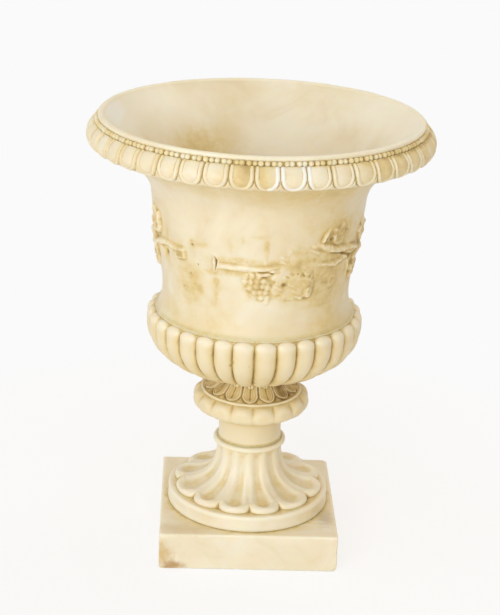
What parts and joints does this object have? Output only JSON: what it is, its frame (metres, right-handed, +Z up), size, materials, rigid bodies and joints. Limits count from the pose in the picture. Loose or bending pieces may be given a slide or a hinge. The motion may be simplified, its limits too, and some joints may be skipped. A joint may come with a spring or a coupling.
{
  "type": "campana urn",
  "caption": "Carved alabaster campana urn: bell-shaped vase on a fluted foot and square plinth, in turned stones held by an iron rod.",
  "frame": {"origin": "middle of the plinth's underside, on the surface that it stands on", "axes": "+Z up along the urn's axis, -Y towards its front, +X to the right as seen from the front"},
  "size_m": [0.2266, 0.2265, 0.3],
  "materials": {
    "alabaster": "polished, slightly translucent, with warm clouds and brown dirt in the carving",
    "iron": "dull, browned",
    "leather": "flattened sole leather"
  },
  "bodies": {
    "root": {"plinth": "alabaster", "foot": "alabaster", "collar": "alabaster", "bowl": "alabaster", "bell": "alabaster", "rim": "alabaster", "tie_rod": "iron", "lower_nut": "iron", "upper_nut": "iron", "lower_washer": "iron", "upper_washer": "iron", "lower_leather_washer": "leather", "upper_leather_washer": "leather"}
  },
  "joints": []
}
